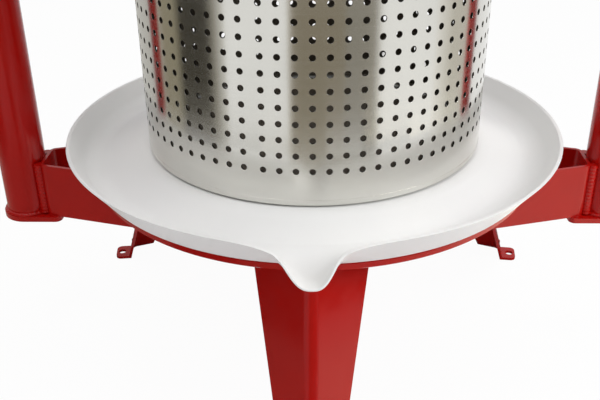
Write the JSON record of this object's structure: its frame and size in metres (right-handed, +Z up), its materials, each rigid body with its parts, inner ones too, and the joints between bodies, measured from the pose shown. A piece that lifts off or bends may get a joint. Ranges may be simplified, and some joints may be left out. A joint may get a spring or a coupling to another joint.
{
  "type": "fruit press",
  "caption": "Screw fruit press with a perforated steel basket standing in a spouted plastic juice tray, on a painted steel frame with splayed bolt-down legs.",
  "frame": {"origin": "on the floor, under the basket's axis, at the centre of the three feet", "axes": "+Z up along the screw, -Y out of the spout, uprights on the X axis"},
  "size_m": [0.6172, 0.4763, 0.9299],
  "materials": {
    "red_paint": "glossy red powder coat",
    "stainless": "brushed stainless sheet",
    "tray_plastic": "satin white moulding",
    "zinc_steel": "bright zinc plated",
    "spindle_steel": "turned and greased steel",
    "bronze": "turned bronze",
    "black_plastic": "black moulding"
  },
  "bodies": {
    "frame": {"base_plate": "red_paint", "left_beam": "red_paint", "right_beam": "red_paint", "left_sole_plate": "red_paint", "right_sole_plate": "red_paint", "left_upright": "red_paint", "right_upright": "red_paint", "left_upright_cap": "black_plastic", "right_upright_cap": "black_plastic", "front_leg": "red_paint", "rear_left_leg": "red_paint", "rear_right_leg": "red_paint", "front_crossbar": "red_paint", "rear_crossbar": "red_paint", "crossbar_bolts": "zinc_steel", "crossbar_washers": "zinc_steel", "crossbar_nuts": "zinc_steel", "nut_block": "red_paint", "block_bolts": "zinc_steel", "block_nuts": "zinc_steel", "spindle_nut": "bronze", "nut_screws": "zinc_steel"},
    "tray": {"juice_tray": "tray_plastic"},
    "basket": {"basket_shell": "stainless", "basket_handles": "stainless"},
    "press_plate": {"press_plate": "stainless", "plate_ribs": "stainless", "thrust_cup": "stainless", "thrust_washer": "bronze", "cup_retainer": "stainless", "retainer_screws": "zinc_steel"},
    "spindle": {"spindle": "spindle_steel", "handle_hub": "red_paint", "hub_pin": "zinc_steel"},
    "bar": {"handle_bar": "zinc_steel", "bar_knobs": "black_plastic"}
  },
  "joints": [
    {"name": "tray_lift", "type": "slide", "parent": "frame", "child": "tray", "axis": [0, 0, 1], "range_m": [0, 0.025]},
    {"name": "basket_lift", "type": "slide", "parent": "tray", "child": "basket", "axis": [0, 0, 1], "range_m": [0, 0.04]},
    {"name": "plate_slide", "type": "slide", "parent": "frame", "child": "press_plate", "axis": [0, 0, -1], "range_m": [0, 0.2351]},
    {"name": "spindle_turn", "type": "hinge", "parent": "press_plate", "child": "spindle", "pos_m": [0, 0, 0.6], "axis": [0, 0, -1], "range_deg": [0, 16920]},
    {"name": "bar_slide", "type": "slide", "parent": "spindle", "child": "bar", "axis": [1, 0, 0], "range_m": [-0.178, 0.178]}
  ],
  "couplings": [
    {"joint": "plate_slide", "follows": "spindle_turn", "m_per_rad": 0.00079577}
  ]
}
